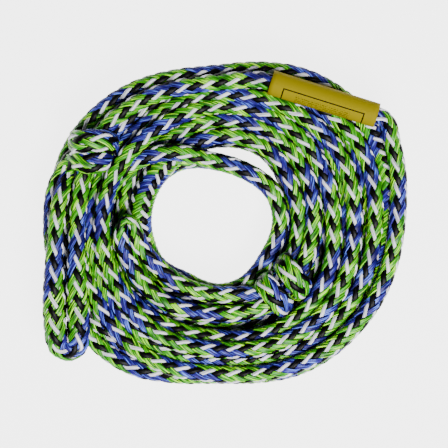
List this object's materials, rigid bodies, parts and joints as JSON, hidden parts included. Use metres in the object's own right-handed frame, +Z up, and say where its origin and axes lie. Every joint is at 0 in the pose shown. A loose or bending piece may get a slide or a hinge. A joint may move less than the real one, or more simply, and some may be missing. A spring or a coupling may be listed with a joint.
{
  "type": "coiled tow rope",
  "caption": "Hollow-braid tow rope wound into a flat open coil, tied with turns of its own ends, with an end eye and a vinyl label sleeve that turns on the rope.",
  "frame": {"origin": "on the surface the coil lies on, below the middle of its outline", "axes": "+Z up through the coil's open middle, +X along its longest side, towards the side away from the end eye"},
  "size_m": [0.3485, 0.3045, 0.0772],
  "materials": {
    "green_yarn": "glossy polyethylene filament yarn",
    "blue_yarn": "glossy polyethylene filament yarn",
    "white_yarn": "flat polyethylene filament yarn",
    "black_yarn": "flat polyethylene filament yarn",
    "label_vinyl": "satin vinyl"
  },
  "bodies": {
    "rope": {"coil": "green_yarn", "inner_turns": "green_yarn", "sleeve_run": "green_yarn", "end_eye": "green_yarn", "outer_wrap_1": "green_yarn", "outer_wrap_2": "green_yarn", "inner_wrap_1": "green_yarn", "inner_wrap_2": "green_yarn"},
    "label": {"label_sleeve": "label_vinyl"}
  },
  "joints": [
    {"name": "label_turn", "type": "hinge", "parent": "rope", "child": "label", "pos_m": [0.0942, 0.1165, 0.061], "axis": [0.9545, -0.2983, 0], "continuous": true}
  ]
}
